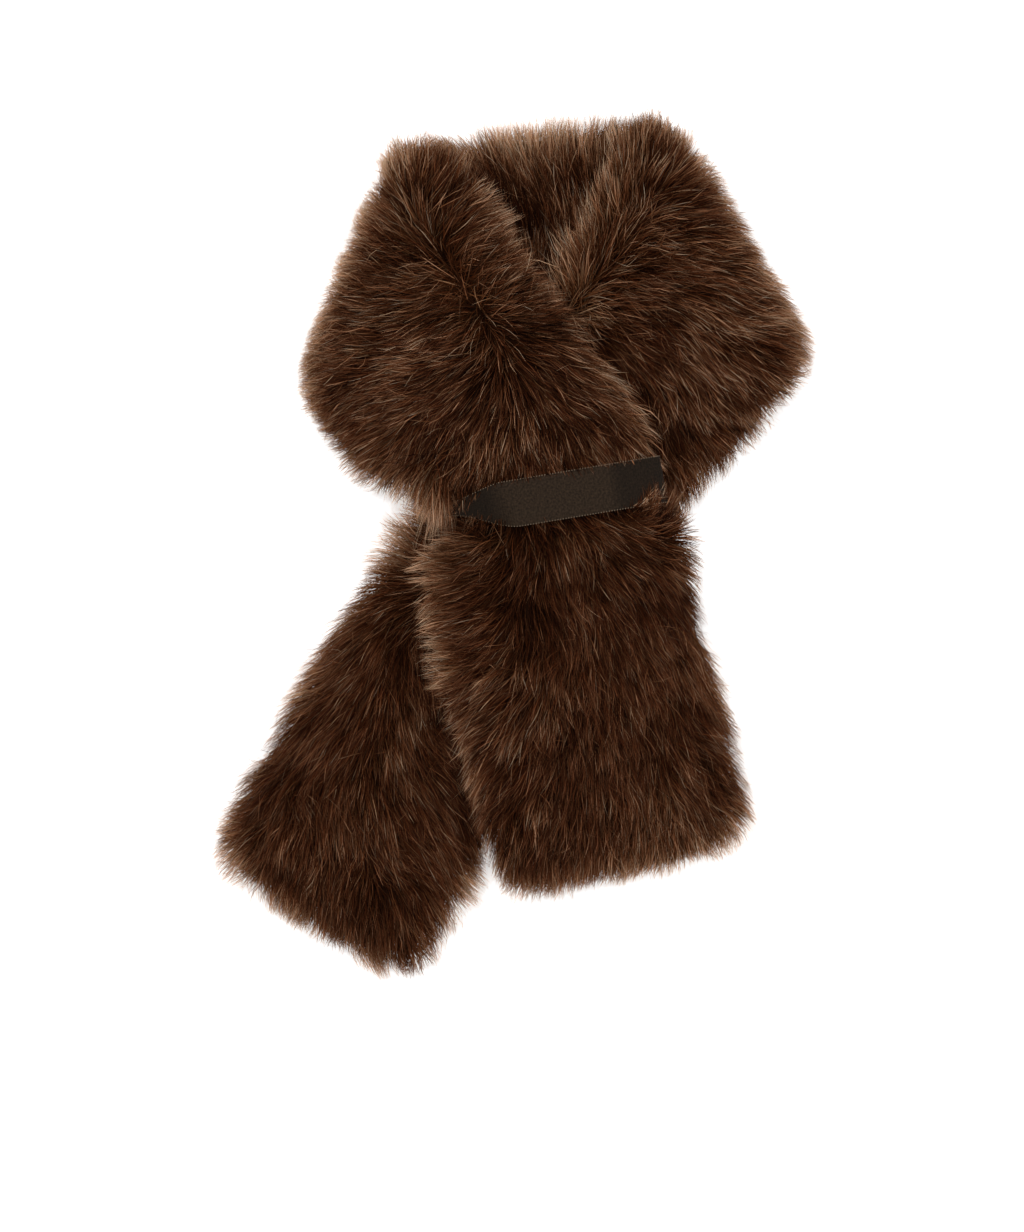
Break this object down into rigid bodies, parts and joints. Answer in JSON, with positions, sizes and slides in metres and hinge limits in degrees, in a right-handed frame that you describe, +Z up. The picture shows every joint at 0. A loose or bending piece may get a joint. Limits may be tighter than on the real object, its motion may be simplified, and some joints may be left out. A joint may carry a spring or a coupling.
{
  "type": "scarf",
  "caption": "Pull-through scarf in long-pile fur cloth, laid flat in its loop: one half runs over the other and through a ribbon loop sewn to it.",
  "frame": {"origin": "middle of the scarf's box, on the surface that it lies on", "axes": "+Y towards the back of the neck, +X to the right seen from above with the tails towards the viewer, +Z up off the surface"},
  "size_m": [0.3226, 0.473, 0.0828],
  "materials": {
    "fur_cloth": "long pile, dark brown with lighter tips",
    "ribbon": "fine matt weave with picot edges"
  },
  "bodies": {
    "root": {"back_neck": "fur_cloth", "under_arm": "fur_cloth", "under_tail": "fur_cloth", "over_arm": "fur_cloth", "over_tail": "fur_cloth", "ribbon_loop": "ribbon"}
  },
  "joints": []
}
